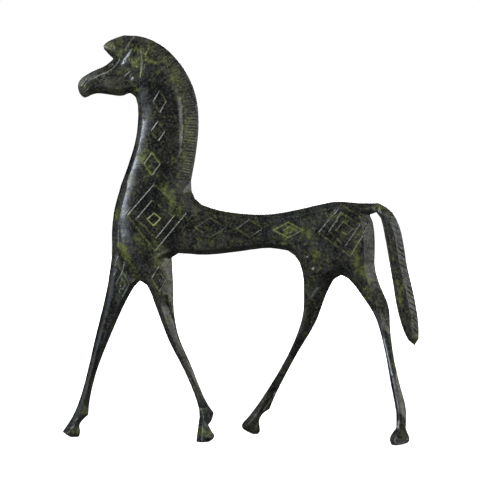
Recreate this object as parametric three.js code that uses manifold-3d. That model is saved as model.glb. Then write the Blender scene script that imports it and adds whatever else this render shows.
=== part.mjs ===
// A bronze horse in the Greek geometric style, cast in one piece.
// It is a thick plate with bevelled edges: head, neck, body and tail lie in one upright plane, and the
// four slim legs fold out of it to the left and right. The faces carry cut diamonds and hatching.
// Millimetres, +Z up. The horse faces -X, its left side faces -Y, and its hooves stand on Z = 0.

import * as THREE from 'three';
import { mergeVertices } from 'three/addons/utils/BufferGeometryUtils.js';
import Module from 'manifold-3d';

const wasm = await Module();
wasm.setup();

// Driving sizes, in millimetres

const height = 204; // from the soles to the top of the poll

// Full thickness of the casting from side to side at named places
const chestThickness = 12.8;
const rumpThickness = 12.6;
const waistThickness = 10.4;
const neckThickness = 11;
const pollThickness = 9.4;
const cheekThickness = 10.6;
const muzzleThickness = 7.4;
const tailRootThickness = 8;
const tailTipThickness = 7;
const shinThickness = 6.8;
const hoofThickness = 8;

// How far each pair of hooves stands out from the middle plane
const forehoofSpread = 9.5;
const hindhoofSpread = 21;

// Bevels: their width across the face, and what share of the thickness is left at the rim
const edgeBevel = { width: 2.6, rim: 0.42, step: 4.6 };
const faceBevel = { width: 3.2, rim: 0.42, step: 1.7 };
const throatBevel = { width: 2, rim: 0.42, step: 4.2 };
const chestBevel = { width: 3.1, rim: 0.4, step: 3 };
const maneBevel = { width: 7, rim: 0.36, step: 3 };
const shinBevel = { width: 2.2, rim: 0.36, step: 4.2 };
const hockBevel = { width: 5.6, rim: 0.36, step: 4.2 };
const hoofBevel = { width: 2, rim: 0.5, step: 1.4 };
const tailFrontBevel = { width: 1.8, rim: 0.5, step: 4.2 };
const tailBackBevel = { width: 3.6, rim: 0.4, step: 4.2 };
const soleEdge = { width: 0, rim: 1, step: 2 };

// The valley where a foreleg passes behind the chest: its width each way and what it leaves
const creaseBevel = { width: 4, rim: 0.64, step: 2.6 };

// The valley between neck and mane: how far it reaches to each, and what share it leaves at its floor
const maneValley = { towardsNeck: 8, towardsMane: 2.8, floor: 0.84, step: 5.5 };

// Cut lines
const cutWidth = 0.9;
const cutDepth = 0.5;
const hatchPitch = 2;
const strandPitch = 3.2;
const leastBend = 0.2; // a cut line gets one more place where the surface bends away by this much

// Raised marks: how far across, and how far they stand out
const browRadius = 2.2;
const cheekRadius = 2.9;
const knobRadius = 2.4;
const markHeight = 0.7;

// Spacing of the mesh in the flat fields, and the least distance between two of its points
const fieldPitch = 12;
const leastGap = 1.6;

// Places are written in hundredths of the height, as x and z
const share = height / 100;
const place = ([x, z]) => new THREE.Vector2(x * share, z * share);

// The outline, run by run, anticlockwise from the brow as seen from the left side.
// Each run starts where the one before it ends.
const outline = [
  { name: 'face', bevel: faceBevel,
    points: [[-33, 92.6], [-35.2, 91.6], [-37.4, 90.5], [-39.2, 89.2], [-39.9, 87.8], [-39.5, 85.8],
      [-38.2, 84.6], [-36.9, 85.2], [-35.2, 85.7], [-32, 85.4], [-29.1, 85.1], [-27, 85.8], [-25.7, 84.8]] },
  { name: 'throat', bevel: throatBevel,
    points: [[-25.1, 82.6], [-25.1, 79.2], [-25.7, 74.2], [-27.3, 68.8], [-29.4, 62.9]] },
  { name: 'chest', bevel: chestBevel,
    points: [[-31, 56.9], [-31.6, 51.5], [-31.6, 48], [-31.7, 45.1]] },
  { name: 'far foreleg front', bevel: shinBevel,
    points: [[-33, 37], [-35.7, 26], [-39.3, 11.4], [-41.7, 5.2], [-44.3, 1.2]] },
  { name: 'far fore sole', bevel: soleEdge,
    points: [[-41.5, -0.3]] },
  { name: 'far fore heel', bevel: hoofBevel,
    points: [[-40.3, 0], [-39.9, 1], [-40.1, 2.8], [-39.3, 4.2], [-37.8, 5.6]] },
  { name: 'far foreleg back', bevel: shinBevel,
    points: [[-37.5, 9], [-35.7, 16.4], [-31.5, 27.1], [-27.6, 35.5], [-25.5, 38.8], [-24.7, 39.5]] },
  { name: 'near foreleg front', bevel: shinBevel,
    points: [[-23, 38.4], [-20.8, 33.1], [-17.5, 24.6], [-13.7, 17.3], [-11.1, 11.2], [-10, 7.2],
      [-10.4, 3.2], [-10.8, 0]] },
  { name: 'near fore sole', bevel: soleEdge,
    points: [[-8.4, -0.3]] },
  { name: 'near fore heel', bevel: hoofBevel,
    points: [[-6.8, 0.6], [-6.3, 1.5], [-7, 2.5], [-7.9, 4.1]] },
  { name: 'near fore fetlock', bevel: hoofBevel,
    points: [[-7, 5.3], [-6.5, 7.1]] },
  { name: 'near foreleg back', bevel: hockBevel,
    points: [[-8.4, 9.9], [-12.3, 19.1], [-15.2, 25.9], [-16.3, 31.6], [-16.5, 38.6], [-16.9, 45.2]] },
  { name: 'belly', bevel: edgeBevel,
    points: [[-16.5, 46], [-15.6, 46.3], [-8.7, 45.9], [-1.2, 46.6], [7.4, 47.6], [11.9, 46.9]] },
  { name: 'far hind leg front', bevel: shinBevel,
    points: [[14.1, 45.1], [15.5, 41.2], [15.8, 36.9], [15.5, 30.2], [12.7, 22], [7.3, 12], [2.9, 5.3],
      [0.8, 2.8]] },
  { name: 'far hind toe', bevel: hoofBevel,
    points: [[0.4, 1.8], [1, 1]] },
  { name: 'far hind sole', bevel: soleEdge,
    points: [[4.2, -0.3]] },
  { name: 'far hind heel', bevel: hoofBevel,
    points: [[5, 0.7], [4.8, 3.3], [5.5, 5], [7.5, 6.6]] },
  { name: 'far hind leg back', bevel: hockBevel,
    points: [[8.5, 9.3], [13.8, 20.1], [18.7, 28.8], [21.7, 36.9], [23.6, 40.2], [25.1, 40.9]] },
  { name: 'near hind leg front', bevel: shinBevel,
    points: [[26.9, 39.9], [30.4, 35.4], [33.4, 30.6], [35.7, 22.3], [37, 14.8], [38.3, 7.7], [38.3, 4]] },
  { name: 'near hind toe', bevel: hoofBevel,
    points: [[36.9, 1.9], [36.7, 0.8], [37.3, -0.2]] },
  { name: 'near hind sole', bevel: soleEdge,
    points: [[41, 0.6]] },
  { name: 'near hind heel', bevel: hoofBevel,
    points: [[41.5, 1.3], [40.6, 3.9]] },
  { name: 'near hind leg back', bevel: hockBevel,
    points: [[40.7, 8.6], [39.1, 15], [37.7, 21.8], [37, 28], [36.7, 33.1], [34.2, 39.4], [33.3, 43.3],
      [33.3, 48.5], [32.9, 53.5], [32, 55.8]] },
  { name: 'tail front', bevel: tailFrontBevel,
    points: [[33, 56.7], [34.5, 55.5], [35.9, 50], [37.6, 40.1], [39.3, 30.9], [41.6, 24.8], [43.2, 23.4]] },
  { name: 'tail back', bevel: tailBackBevel,
    points: [[44.1, 24.4], [44.1, 29.2], [43.2, 34.9], [41.3, 43.1], [39.5, 52.4], [37.3, 56.7], [34.2, 58.7]] },
  { name: 'back', bevel: edgeBevel,
    points: [[29.6, 58.7], [23.7, 59.1], [18.5, 58.1], [12.8, 56.8], [6.9, 55.9], [-0.5, 56.2], [-6.9, 57.4],
      [-10.4, 59], [-11.9, 61.6], [-12.1, 64.1]] },
  { name: 'mane', bevel: maneBevel,
    points: [[-10.9, 70.8], [-10.2, 78.7], [-11, 85.6], [-13.7, 91.6], [-18.7, 97.1], [-23.9, 99.6],
      [-28.5, 100]] },
  { name: 'forelock', bevel: faceBevel,
    points: [[-32.2, 98.6], [-33.6, 97.2], [-32.7, 95.8], [-31.1, 94.2]] },
];

// Where each named thickness holds
const thicknesses = [
  { at: place([-38.5, 87]), thickness: muzzleThickness },
  { at: place([-28, 90]), thickness: cheekThickness },
  { at: place([-20, 92]), thickness: pollThickness },
  { at: place([-18, 75]), thickness: neckThickness },
  { at: place([-22, 54]), thickness: chestThickness },
  { at: place([3, 51.5]), thickness: waistThickness },
  { at: place([26, 51]), thickness: rumpThickness },
  { at: place([37, 53]), thickness: tailRootThickness },
  { at: place([41, 35]), thickness: tailTipThickness },
];

// Each leg folds out of the middle plane at a line from the crotch to the outer edge above the leg.
// The side is -1 for the horse's left, towards -Y, and 1 for its right.
const foreCrotch = place([-24.7, 39.4]);
const hindCrotch = place([25.1, 40.8]);
const legs = [
  { fold: [foreCrotch, place([-31.6, 47.5])], sole: place([-42.2, 0]), side: 1, spread: forehoofSpread },
  { fold: [foreCrotch, place([-16.8, 45.7])], sole: place([-8.4, 0]), side: -1, spread: forehoofSpread },
  { fold: [hindCrotch, place([13.3, 46.5])], sole: place([2.8, 0]), side: 1, spread: hindhoofSpread },
  { fold: [hindCrotch, place([33.3, 44])], sole: place([39.2, 0]), side: -1, spread: hindhoofSpread },
];
const foldEase = 0.1; // how gently a leg leaves the middle plane, as a share of its length
const thighShare = 0.42; // the share of a leg over which its thickness falls to that of the shin
const hoofShare = 0.9; // the share of a leg at which its hoof begins to swell
const tailGap = [place([32.5, 55.9]), place([40, 23.2])]; // the line between the hind leg and the tail
const creaseShare = 0.78; // how much of a foreleg's fold line the valley behind the chest follows

// The floor of the valley between neck and mane, from the poll down to the withers
const maneValleyPlaces = [[-21.7, 92.9], [-18.7, 91.4], [-16.6, 88.2], [-15.5, 84], [-15.3, 78.1],
  [-15.4, 70.7], [-15.6, 64]];

// Large cut diamonds by their top, left, bottom and right corners
const largeDiamonds = [
  [[-21.2, 63.5], [-27.8, 55.9], [-21, 47.1], [-13.3, 56.4]],
  [[-21.7, 59.6], [-25.6, 55], [-20.7, 50.3], [-16.4, 55.6]],
  [[-21.2, 56.4], [-22.9, 54.9], [-21.3, 53.3], [-19.6, 55.1]],
  [[24.9, 58], [19.3, 51.7], [27.1, 45.8], [32, 54.2]],
  [[24.6, 56.6], [21.9, 51.9], [25.8, 48.2], [29.5, 53.7]],
  [[25.4, 54.4], [23.6, 52.2], [26.3, 51.2], [27.6, 52.4]],
];

// Small cut diamonds by their centres and half sizes
const smallDiamonds = [
  { centre: [-19.9, 83.6], half: [1.6, 2.7] },
  { centre: [-20.3, 76.4], half: [1.7, 2.5] },
  { centre: [-21.8, 68.3], half: [2, 2.8] },
  { centre: [-7.4, 52.6], half: [3.7, 2.4] },
  { centre: [2.3, 52.3], half: [3.2, 2.2] },
  { centre: [11.8, 52], half: [3.6, 1.9] },
  { centre: [12, 52], half: [1.4, 0.8] },
  { centre: [-20.1, 40.1], half: [2, 3.2] },
  { centre: [-29.4, 38.6], half: [1.7, 3.1] },
  { centre: [19.1, 35], half: [1.5, 2.8] },
];

// Single cut lines: beside the forelock, round the jaw, the mouth and the nostril
const scratches = [
  [[-26.1, 99.3], [-28.3, 96.1]],
  [[-24, 95.6], [-24, 90.2], [-24.6, 87.8], [-25.8, 86.8]],
  [[-38.3, 85.9], [-37.1, 87]],
  [[-38.8, 87.7], [-37.7, 89.2]],
];

// Strips of short cut lines across a bevel: which stretch of the run, and where each line starts and
// ends as shares of the bevel's width
const hatched = [
  { run: 'mane', from: 0.04, to: 0.93, pitch: hatchPitch, ends: [0.16, 0.9], slant: 0 },
  { run: 'tail back', from: 0.06, to: 0.84, pitch: strandPitch, ends: [0.25, 1.5], slant: -0.85 },
];

// Low round bosses: the brow, the cheek and a knob on the thigh
const bosses = [
  { at: [-27.5, 93.4], radius: browRadius },
  { at: [-25.7, 89], radius: cheekRadius },
  { at: [18.6, 42.3], radius: knobRadius },
];

// Shape of the plate

/** Points along a smooth curve through places, about a step apart. */
function smoothLine(places, step) {
  const through = places.map((at) => place(at)).map(({ x, y }) => new THREE.Vector3(x, y, 0));
  const curve = new THREE.CatmullRomCurve3(through, false, 'centripetal');
  const count = Math.max(1, Math.round(curve.getLength() / step));
  return curve.getSpacedPoints(count).map(({ x, y }) => new THREE.Vector2(x, y));
}

/** Samples the outline into points at the step of each run, and keeps the polyline of each run. */
function sampleOutline() {
  const points = [];
  const runs = [];
  let start = outline.at(-1).points.at(-1);
  for (const { name, bevel, points: places } of outline) {
    const line = smoothLine([start, ...places], bevel.step);
    line.slice(0, -1).forEach((point) => points.push({ point, bevel }));
    if (bevel !== soleEdge) runs.push({ name, bevel, line });
    start = places.at(-1);
  }
  return { points, runs };
}

function distanceToSegment(point, from, to) {
  const along = to.clone().sub(from);
  const reach = point.clone().sub(from).dot(along) / along.lengthSq();
  const nearest = from.clone().addScaledVector(along, THREE.MathUtils.clamp(reach, 0, 1));
  return nearest.distanceTo(point);
}

function distanceToLine(point, line) {
  let least = Infinity;
  for (let i = 1; i < line.length; i += 1) {
    least = Math.min(least, distanceToSegment(point, line[i - 1], line[i]));
  }
  return least;
}

/** Which side of the line through two points a point is on: positive to the right, looking along it. */
function sideOf(point, [from, to]) {
  const along = to.clone().sub(from);
  const across = point.clone().sub(from);
  return (across.x * along.y - across.y * along.x) / along.length();
}

const sampled = sampleOutline();
const maneValleyLine = smoothLine(maneValleyPlaces, maneValley.step);

/** The share of the full thickness that a bevel leaves at a distance from its edge. */
const shareLeft = (bevel, distance) => bevel.rim + (1 - bevel.rim) * distance / bevel.width;

/** The share of the full thickness that all bevels leave at a point. */
function bevelShare(point) {
  const shares = sampled.runs.map(({ bevel, line }) => shareLeft(bevel, distanceToLine(point, line)));
  return Math.min(1, ...shares);
}

/** The line that a foreleg's valley follows, from the crotch towards the outer edge. */
function creaseOf({ fold: [crotch, outer] }) {
  return [crotch, crotch.clone().lerp(outer, creaseShare)];
}

/** The share that the valley beside the mane leaves at a point. */
function maneValleyShare(point) {
  const segments = maneValleyLine.slice(1).map((to, i) => [maneValleyLine[i], to]);
  const distances = segments.map(([from, to]) => distanceToSegment(point, from, to));
  const distance = Math.min(...distances);
  const across = sideOf(point, segments[distances.indexOf(distance)]); // above 0 on the neck
  const neckShare = (1 + across / Math.max(distance, leastGap)) / 2;
  const width = THREE.MathUtils.lerp(maneValley.towardsMane, maneValley.towardsNeck, neckShare);
  return shareLeft({ rim: maneValley.floor, width }, distance);
}

/** The share left at a point on one side, where the foreleg of the other side has its valley. */
function shareAt(point, side) {
  const behind = legs.slice(0, 2).filter((leg) => leg.side === -side);
  const valleys = behind.map((leg) => shareLeft(creaseBevel, distanceToLine(point, creaseOf(leg))));
  return Math.min(bevelShare(point), maneValleyShare(point), ...valleys);
}

function isTail(point) {
  const isBehindGap = sideOf(point, tailGap) < 0;
  return isBehindGap && point.y < tailGap[0].y;
}

/** The leg that a point belongs to, and how far down it the point is: 0 on the trunk and 1 at the sole. */
function legAt(point) {
  if (isTail(point)) return { leg: legs[0], reach: 0 };
  const isFore = point.x < (foreCrotch.x + hindCrotch.x) / 2;
  const crotch = isFore ? foreCrotch : hindCrotch;
  const pair = isFore ? legs.slice(0, 2) : legs.slice(2);
  const leg = pair[point.x < crotch.x ? 0 : 1];
  const foldLine = leg.fold[1].clone().sub(crotch);
  const isPastFold = point.clone().sub(crotch).dot(foldLine) > foldLine.lengthSq();
  const reach = isPastFold ? 0 : sideOf(point, leg.fold) / sideOf(leg.sole, leg.fold);
  return { leg, reach: Math.max(0, reach) };
}

/** How far the middle of the casting stands off the middle plane. */
function middleAt(point) {
  const { leg, reach } = legAt(point);
  const eased = (value) => Math.hypot(value, foldEase) - foldEase;
  return leg.side * leg.spread * eased(reach) / eased(1);
}

/** The thickness of the body between the named places, each weighted by its nearness. */
function bodyThicknessAt(point) {
  let sum = 0;
  let weights = 0;
  for (const { at, thickness } of thicknesses) {
    const weight = 1 / (at.distanceToSquared(point) + 1) ** 2;
    sum += weight * thickness;
    weights += weight;
  }
  return sum / weights;
}

function thicknessAt(point) {
  const { reach } = legAt(point);
  const body = bodyThicknessAt(point);
  const thinned = THREE.MathUtils.smoothstep(reach, 0, thighShare);
  const swollen = THREE.MathUtils.smoothstep(reach, hoofShare, 1);
  const limb = THREE.MathUtils.lerp(body, shinThickness, thinned);
  return THREE.MathUtils.lerp(limb, hoofThickness, swollen);
}

/** Y of the surface at a point, on the side -1 or 1. */
function surfaceAt(point, side) {
  return middleAt(point) + side * shareAt(point, side) * thicknessAt(point) / 2;
}

// Mesh of the plate

function isInside(point, polygon) {
  let inside = false;
  for (let i = 0, j = polygon.length - 1; i < polygon.length; j = i, i += 1) {
    const a = polygon[i];
    const b = polygon[j];
    const crosses = (a.y > point.y) !== (b.y > point.y);
    if (crosses && point.x < ((b.x - a.x) * (point.y - a.y)) / (b.y - a.y) + a.x) inside = !inside;
  }
  return inside;
}

/** Points along the crests where a bevel ends, found by walking inwards while the plate gets thicker. */
function crestPoints(rim) {
  const found = [];
  rim.forEach(({ point, bevel }, i) => {
    if (bevel === soleEdge) return;
    const before = rim[(i + rim.length - 1) % rim.length].point;
    const after = rim[(i + 1) % rim.length].point;
    const along = after.clone().sub(before).normalize();
    const inward = new THREE.Vector2(-along.y, along.x);
    const stride = inward.multiplyScalar(bevel.width / 24);
    const at = point.clone();
    let reached = 0;
    while (bevelShare(at) > reached) {
      reached = bevelShare(at);
      at.add(stride);
    }
    found.push(at.sub(stride));
  });
  return found;
}

/** Points along each foreleg's valley and along both its shoulders. */
function creasePoints() {
  return legs.slice(0, 2).flatMap((leg) => {
    const [from, to] = creaseOf(leg);
    const along = to.clone().sub(from);
    const across = new THREE.Vector2(-along.y, along.x).setLength(creaseBevel.width);
    const count = Math.max(1, Math.round(along.length() / creaseBevel.step));
    const steps = Array.from({ length: count + 1 }, (value, i) => from.clone().addScaledVector(along, i / count));
    return [0, 1, -1].flatMap((lane) => steps.map((at) => at.clone().addScaledVector(across, lane)));
  });
}

/** Points along the floor of the valley beside the mane and along both its shoulders. */
function maneValleyPoints() {
  const { towardsNeck, towardsMane } = maneValley;
  return [0, towardsMane, -towardsNeck].flatMap((across) => maneValleyLine.slice(1, -1).map((at, i) => {
    const along = maneValleyLine[i + 2].clone().sub(maneValleyLine[i]).normalize();
    return at.clone().add(new THREE.Vector2(-along.y, along.x).multiplyScalar(across));
  }));
}

/** The top, left, bottom and right corner of a small diamond. */
function diamondCorners({ centre: [x, z], half: [across, up] }) {
  return [[x, z + up], [x - across, z], [x, z - up], [x + across, z]];
}

/** A triangular lattice over the fields, where the crests and rims leave room. */
function fieldPoints(corners) {
  const found = [];
  const box = new THREE.Box2().setFromPoints(corners);
  const rowHeight = fieldPitch * Math.sqrt(3) / 2;
  let row = 0;
  for (let z = box.min.y; z < box.max.y; z += rowHeight, row += 1) {
    const shift = (row % 2) * fieldPitch / 2 + 0.1 * Math.sin(row);
    for (let x = box.min.x + shift; x < box.max.x; x += fieldPitch) {
      found.push(new THREE.Vector2(x, z));
    }
  }
  return found;
}

/** Adds the candidates that are inside the outline and clear of every point kept so far. */
function addClearPoints(kept, candidates, corners, gap) {
  for (const candidate of candidates) {
    const isClear = kept.every((point) => point.distanceTo(candidate) > gap);
    if (isClear && isInside(candidate, corners)) kept.push(candidate);
  }
}

function circumcircle(a, b, c) {
  const doubled = 2 * (a.x * (b.y - c.y) + b.x * (c.y - a.y) + c.x * (a.y - b.y));
  const [aa, bb, cc] = [a, b, c].map((corner) => corner.lengthSq());
  const x = (aa * (b.y - c.y) + bb * (c.y - a.y) + cc * (a.y - b.y)) / doubled;
  const y = (aa * (c.x - b.x) + bb * (a.x - c.x) + cc * (b.x - a.x)) / doubled;
  return { x, y, squared: (a.x - x) ** 2 + (a.y - y) ** 2 };
}

/** Delaunay triangles of the points, as triples of indices, all turning the same way. */
function delaunay(points) {
  const far = height * 20;
  const all = [...points, new THREE.Vector2(-far, -far), new THREE.Vector2(far, -far), new THREE.Vector2(0, far)];
  const makeTriangle = (...corners) => ({ corners, circle: circumcircle(...corners.map((i) => all[i])) });
  let triangles = [makeTriangle(points.length, points.length + 1, points.length + 2)];
  for (let i = 0; i < points.length; i += 1) {
    const { x, y } = all[i];
    const edges = new Map();
    const kept = [];
    for (const triangle of triangles) {
      const { circle, corners } = triangle;
      if ((x - circle.x) ** 2 + (y - circle.y) ** 2 >= circle.squared) {
        kept.push(triangle);
        continue;
      }
      corners.forEach((from, k) => {
        const to = corners[(k + 1) % 3];
        if (!edges.delete(`${to},${from}`)) edges.set(`${from},${to}`, [from, to]);
      });
    }
    for (const [from, to] of edges.values()) kept.push(makeTriangle(from, to, i));
    triangles = kept;
  }
  return triangles.map(({ corners }) => corners).filter((corners) => Math.max(...corners) < points.length);
}

/** Triangulates the face, halving any outline edge that the triangles don't follow. */
function triangulateFace() {
  let rim = sampled.points;
  for (;;) {
    const corners = rim.map(({ point }) => point);
    const points = [...corners];
    addClearPoints(points, creasePoints(), corners, leastGap);
    addClearPoints(points, maneValleyPoints(), corners, leastGap);
    addClearPoints(points, crestPoints(rim), corners, leastGap);
    addClearPoints(points, fieldPoints(corners), corners, fieldPitch / 2);
    const triangles = delaunay(points);
    const edges = new Set();
    for (const [a, b, c] of triangles) {
      for (const [from, to] of [[a, b], [b, c], [c, a]]) edges.add(`${from},${to}`).add(`${to},${from}`);
    }
    const isFollowed = (i) => edges.has(`${i},${(i + 1) % rim.length}`);
    if (rim.every((sample, i) => isFollowed(i))) {
      const inside = triangles.filter((triangle) => {
        const middle = new THREE.Vector2();
        triangle.forEach((i) => middle.addScaledVector(points[i], 1 / 3));
        return isInside(middle, corners);
      });
      return { points, triangles: inside, rimCount: rim.length };
    }
    rim = rim.flatMap((sample, i) => {
      if (isFollowed(i)) return [sample];
      const next = rim[(i + 1) % rim.length].point;
      return [sample, { point: sample.point.clone().lerp(next, 0.5), bevel: sample.bevel }];
    });
  }
}

/** The closed mesh of the plate: both faces and the rim between them. */
function plateGeometry() {
  const { points, triangles, rimCount } = triangulateFace();
  const positions = [];
  for (const side of [-1, 1]) {
    for (const point of points) positions.push(point.x, surfaceAt(point, side), point.y);
  }
  const other = points.length;
  const index = [];
  for (const [a, b, c] of triangles) {
    index.push(a, b, c, other + a, other + c, other + b);
  }
  for (let i = 0; i < rimCount; i += 1) {
    const next = (i + 1) % rimCount;
    index.push(i, other + next, next, i, other + i, other + next);
  }
  const geometry = new THREE.BufferGeometry();
  geometry.setAttribute('position', new THREE.Float32BufferAttribute(positions, 3));
  geometry.setIndex(index);
  return geometry;
}

// Solids and cuts

function toSolid(geometry) {
  const bare = geometry.clone();
  bare.deleteAttribute('normal');
  bare.deleteAttribute('uv');
  const merged = mergeVertices(bare);
  const vertProperties = merged.attributes.position.array;
  const triVerts = merged.index.array;
  return new wasm.Manifold(new wasm.Mesh({ numProp: 3, vertProperties, triVerts: new Uint32Array(triVerts) }));
}

function toGeometry(solid) {
  const mesh = solid.getMesh();
  const geometry = new THREE.BufferGeometry();
  geometry.setAttribute('position', new THREE.BufferAttribute(mesh.vertProperties, 3));
  geometry.setIndex(new THREE.BufferAttribute(mesh.triVerts, 1));
  return geometry;
}

/** Three corners of a V-shaped cut's section: both shoulders, above the surface, and the root below it. */
function cutSection(at, sideways, side) {
  const clearance = cutDepth * 1.5; // how far the cutting wedge stands out of the surface
  const halfWidth = cutWidth / 2 * (cutDepth + clearance) / cutDepth;
  const surface = surfaceAt(at, side);
  const shoulder = (share) => {
    const { x, y: z } = at.clone().addScaledVector(sideways, share * halfWidth);
    return [x, surface + side * clearance, z];
  };
  return [shoulder(1), shoulder(-1), [at.x, surface - side * cutDepth, at.y]];
}

/** A closed wedge through sections, which cuts a V-shaped line along them. */
function wedge(sections, isRing, side) {
  const index = [];
  const count = sections.length;
  for (let i = 0; i < (isRing ? count : count - 1); i += 1) {
    const near = 3 * i;
    const far = 3 * ((i + 1) % count);
    for (const [a, b] of [[0, 1], [1, 2], [2, 0]]) {
      index.push(near + a, near + b, far + b, near + a, far + b, far + a);
    }
  }
  if (!isRing) index.push(0, 2, 1, 3 * count - 3, 3 * count - 2, 3 * count - 1);
  if (side < 0) index.reverse();
  const geometry = new THREE.BufferGeometry();
  geometry.setAttribute('position', new THREE.Float32BufferAttribute(sections.flat(2), 3));
  geometry.setIndex(index);
  return toSolid(geometry);
}

/** Places from one end of a straight stretch up to the other, so close that they follow the surface. */
function alongSurface(from, to, side) {
  const middle = from.clone().lerp(to, 0.5);
  const chord = (surfaceAt(from, side) + surfaceAt(to, side)) / 2;
  const bend = Math.abs(surfaceAt(middle, side) - chord);
  if (bend < leastBend || middle.distanceTo(from) < leastGap / 2) return [from];
  return [...alongSurface(from, middle, side), ...alongSurface(middle, to, side)];
}

/** A straight cut line between two places on one side. */
function lineCutter([from, to], side) {
  const along = to.clone().sub(from).normalize();
  const sideways = new THREE.Vector2(along.y, -along.x);
  const places = [...alongSurface(from, to, side), to];
  return wedge(places.map((at) => cutSection(at, sideways, side)), false, side);
}

/** A cut diamond on one side, with mitred corners. */
function diamondCutter(places, side) {
  const corners = places.map((at) => place(at));
  const middle = new THREE.Vector2();
  corners.forEach((corner) => middle.addScaledVector(corner, 1 / 4));
  const sections = corners.flatMap((corner, i) => {
    const next = corners[(i + 1) % 4];
    const along = next.clone().sub(corner).normalize();
    const sideways = new THREE.Vector2(along.y, -along.x);
    const outward = corner.clone().sub(middle).normalize();
    const atCorner = cutSection(corner, outward.divideScalar(outward.dot(sideways)), side);
    const between = alongSurface(corner, next, side).slice(1);
    return [atCorner, ...between.map((at) => cutSection(at, sideways, side))];
  });
  return wedge(sections, true, side);
}

/** The straight stretches of a line through several places. */
function stretches(places) {
  return places.slice(1).map((to, i) => [place(places[i]), place(to)]);
}

/** Short lines that start on a run of the outline, spaced evenly and all slanted alike. */
function hatching({ run: name, from, to, pitch, ends, slant }) {
  const { line, bevel } = sampled.runs.find((run) => run.name === name);
  const curve = new THREE.CatmullRomCurve3(line.map(({ x, y }) => new THREE.Vector3(x, y, 0)));
  const count = Math.round(curve.getLength() * (to - from) / pitch);
  return Array.from({ length: count }, (value, i) => {
    const reach = THREE.MathUtils.lerp(from, to, (i + 0.5) / count);
    const { x, y } = curve.getPointAt(reach);
    const inward = curve.getTangentAt(reach).applyAxisAngle(new THREE.Vector3(0, 0, 1), Math.PI / 2 + slant);
    return ends.map((share) => new THREE.Vector2(x, y).addScaledVector(inward, share * bevel.width));
  });
}

/** A low round boss that stands out of one side. */
function boss({ at, radius }, side) {
  const dome = new THREE.SphereGeometry(1, 12, 6);
  dome.scale(radius, markHeight * 2, radius);
  const { x, y: z } = place(at);
  dome.translate(x, surfaceAt(place(at), side) - side * markHeight, z);
  return toSolid(dome);
}

/** Everything below the ground that the hooves stand on. */
function groundBelow() {
  const depth = height / 10;
  const block = new THREE.BoxGeometry(height * 2, height, depth);
  block.translate(0, 0, -depth / 2);
  return toSolid(block);
}

/** The plate with its bosses, its cut lines on both sides and its soles filed level. */
function carvedHorse() {
  const lines = [
    ...scratches.flatMap((places) => stretches(places)),
    ...hatched.flatMap((strip) => hatching(strip)),
  ];
  const diamonds = [...largeDiamonds, ...smallDiamonds.map((diamond) => diamondCorners(diamond))];
  let solid = toSolid(plateGeometry());
  for (const side of [-1, 1]) {
    for (const mark of bosses) solid = solid.add(boss(mark, side));
    for (const diamond of diamonds) solid = solid.subtract(diamondCutter(diamond, side));
    for (const line of lines) solid = solid.subtract(lineCutter(line, side));
  }
  return solid.subtract(groundBelow());
}

const solid = carvedHorse();

const bronze = new THREE.MeshStandardMaterial({ color: 0x33362a, roughness: 0.5, metalness: 0.75 });
const horse = new THREE.Mesh(toGeometry(solid), bronze);
horse.name = 'horse';

const part = new THREE.Group();
part.add(horse);

export default part;
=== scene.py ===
# A bronze horse in the Greek geometric style, dressed for the studio.
# The imported solid gives its form. This script remeshes a copy of it, cuts the fine carving with a sharper
# edge, gives it the uneven skin of a casting and lays a dark green patina over it, with highlights and shade
# painted into its colour.
# Metres, +Z up. The horse faces -X and turns its left side, towards -Y, to the camera.

import math

import bpy
import numpy as np
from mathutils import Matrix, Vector
from mathutils.bvhtree import BVHTree


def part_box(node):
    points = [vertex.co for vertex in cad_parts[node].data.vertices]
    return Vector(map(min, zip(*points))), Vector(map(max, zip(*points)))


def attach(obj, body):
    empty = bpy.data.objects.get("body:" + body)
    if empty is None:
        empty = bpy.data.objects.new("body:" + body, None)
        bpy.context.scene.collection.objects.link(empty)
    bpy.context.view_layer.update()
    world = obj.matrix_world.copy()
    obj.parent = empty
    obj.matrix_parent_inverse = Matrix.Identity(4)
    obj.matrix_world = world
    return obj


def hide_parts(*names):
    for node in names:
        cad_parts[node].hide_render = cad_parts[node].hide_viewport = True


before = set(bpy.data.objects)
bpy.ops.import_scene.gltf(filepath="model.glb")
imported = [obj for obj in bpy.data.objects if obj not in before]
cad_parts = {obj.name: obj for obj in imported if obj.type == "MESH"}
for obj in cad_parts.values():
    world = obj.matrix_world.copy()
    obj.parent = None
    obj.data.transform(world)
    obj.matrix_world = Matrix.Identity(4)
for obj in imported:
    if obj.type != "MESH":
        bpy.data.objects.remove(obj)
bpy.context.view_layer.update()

# Driving sizes, in metres where nothing else is said

MM = 0.001
low_corner, high_corner = (np.array(corner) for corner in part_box("horse"))
UNIT = high_corner[2] / 100  # places below are in hundredths of the horse's height

VOXEL = 0.26 * MM  # size of the remeshed quads
GRID = 0.3 * MM  # spacing of the height maps
GRID_MARGIN = 4  # places that the height maps reach past the horse
RAY_START = 50 * MM  # how far outside the horse the rays of the height maps start
HEAL_RADIUS = 0.75 * MM  # cuts narrower than twice this are filled before they are cut again
SMOOTHING = (0.65, -0.68)  # the share that a round moves a point towards its neighbours' mean, and back
ROUNDS = 24  # rounds of smoothing that take the facets off the form
MOST_TRIANGLES = 190_000
RIM_TURN = 0.15  # a normal's part to the side, up to which the surface counts as rim
RIM_FADE = 0.35  # how much more of it makes the surface count as a side

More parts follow.
